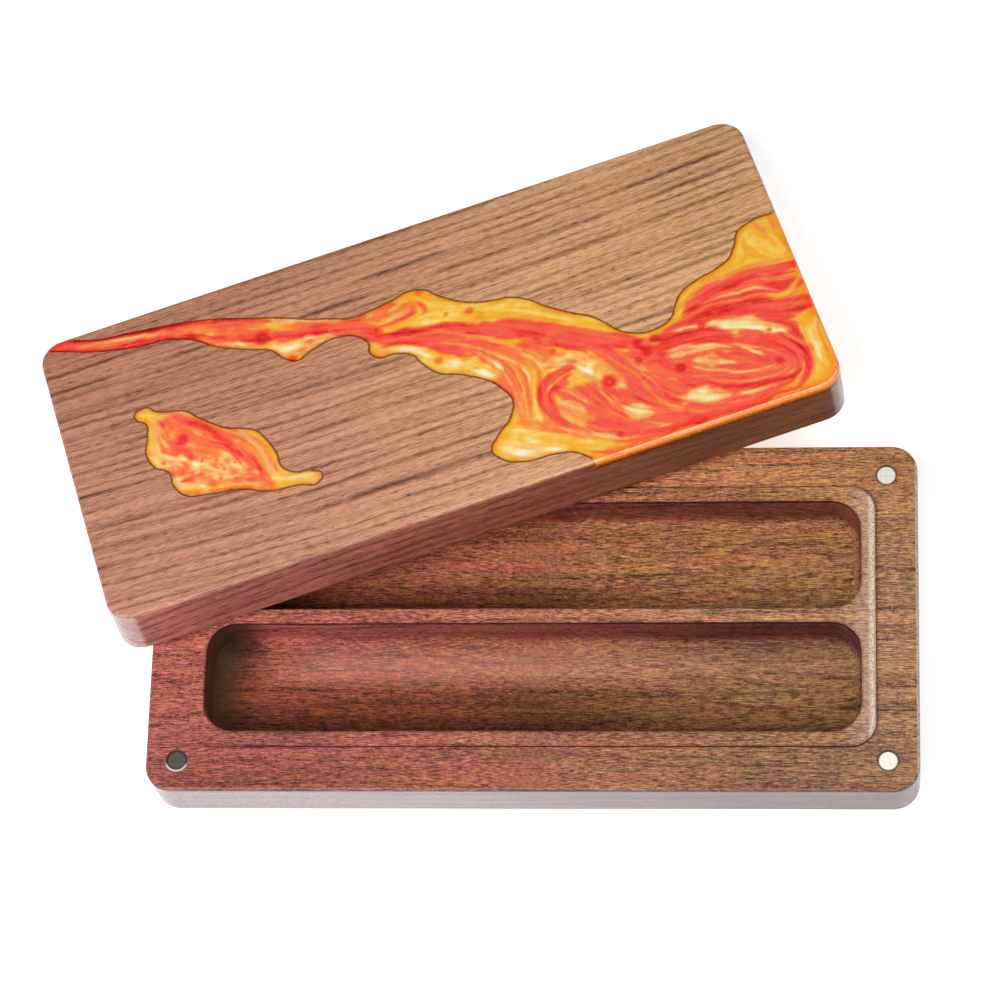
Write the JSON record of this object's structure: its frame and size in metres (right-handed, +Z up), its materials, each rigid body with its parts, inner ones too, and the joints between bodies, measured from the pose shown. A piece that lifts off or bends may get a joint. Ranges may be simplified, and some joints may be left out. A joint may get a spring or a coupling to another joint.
{
  "type": "dice box",
  "caption": "Slim wooden block dice box: a base with long trays sunk into a raised lip, and a hollow lift-off lid with a river of coloured resin inlaid in its top.",
  "frame": {"origin": "centre of the base's flat underside, on the surface that the box stands on", "axes": "+X along the base's length towards its right end, +Y across it towards the lid that leans on its back, +Z up out of the trays"},
  "size_m": [0.2234, 0.1792, 0.0361],
  "materials": {
    "base_wood": "smooth, reddish brown, thin clear gloss coat",
    "lid_wood": "smooth, light brown with dark grain lines, thin clear gloss coat",
    "resin": "cast resin marbled in red, orange and yellow, polished flush with the wood",
    "magnet": "bright nickel plate"
  },
  "bodies": {
    "base": {"base_block": "base_wood", "base_magnet_front_left": "magnet", "base_magnet_front_right": "magnet", "base_magnet_back_left": "magnet", "base_magnet_back_right": "magnet"},
    "lid": {"lid_block": "lid_wood", "resin_river": "resin", "resin_pool": "resin", "lid_magnet_front_left": "magnet", "lid_magnet_front_right": "magnet", "lid_magnet_back_left": "magnet", "lid_magnet_back_right": "magnet"}
  },
  "joints": [
    {"name": "lid_lift", "type": "slide", "parent": "base", "child": "lid", "axis": [0, 0, 1], "range_m": [0, 0.07]}
  ]
}
